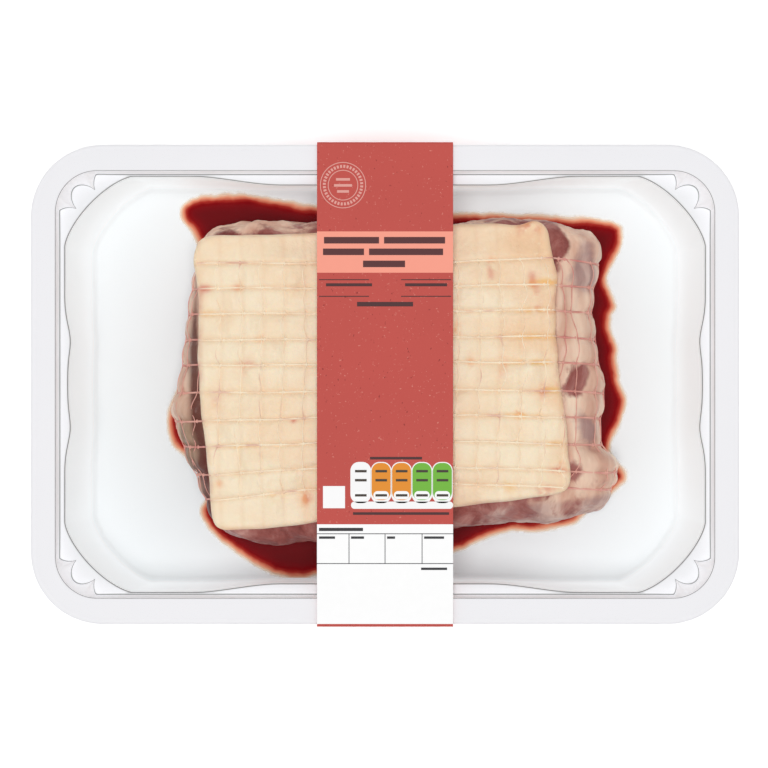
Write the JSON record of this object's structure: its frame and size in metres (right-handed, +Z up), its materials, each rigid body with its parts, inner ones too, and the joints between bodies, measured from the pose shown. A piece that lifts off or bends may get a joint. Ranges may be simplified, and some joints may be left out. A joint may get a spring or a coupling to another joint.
{
  "type": "beef roasting joint in a sealed tray pack",
  "caption": "Raw beef roasting joint with a fat cover in an elastic net, sealed in a white tray with clear film and a card sleeve.",
  "frame": {"origin": "centre of the pack's footprint, on the surface it rests on", "axes": "+X along the tray's long side, +Y across it towards the back, +Z up"},
  "size_m": [0.34, 0.2322, 0.0717],
  "materials": {
    "lean_beef": "moist raw lean beef under pale membrane",
    "beef_fat": "firm cream beef fat",
    "net_string": "elastic butchery string",
    "juices": "thin pool of dark red meat juice",
    "white_plastic": "smooth thermoformed white plastic",
    "clear_film": "clear tight lid film",
    "printed_card": "red card with plain fields of colour"
  },
  "bodies": {
    "root": {"lean_beef": "lean_beef", "fat_cover": "beef_fat", "net": "net_string", "juices": "juices", "tray": "white_plastic", "lid_film": "clear_film", "sleeve": "printed_card"}
  },
  "joints": []
}
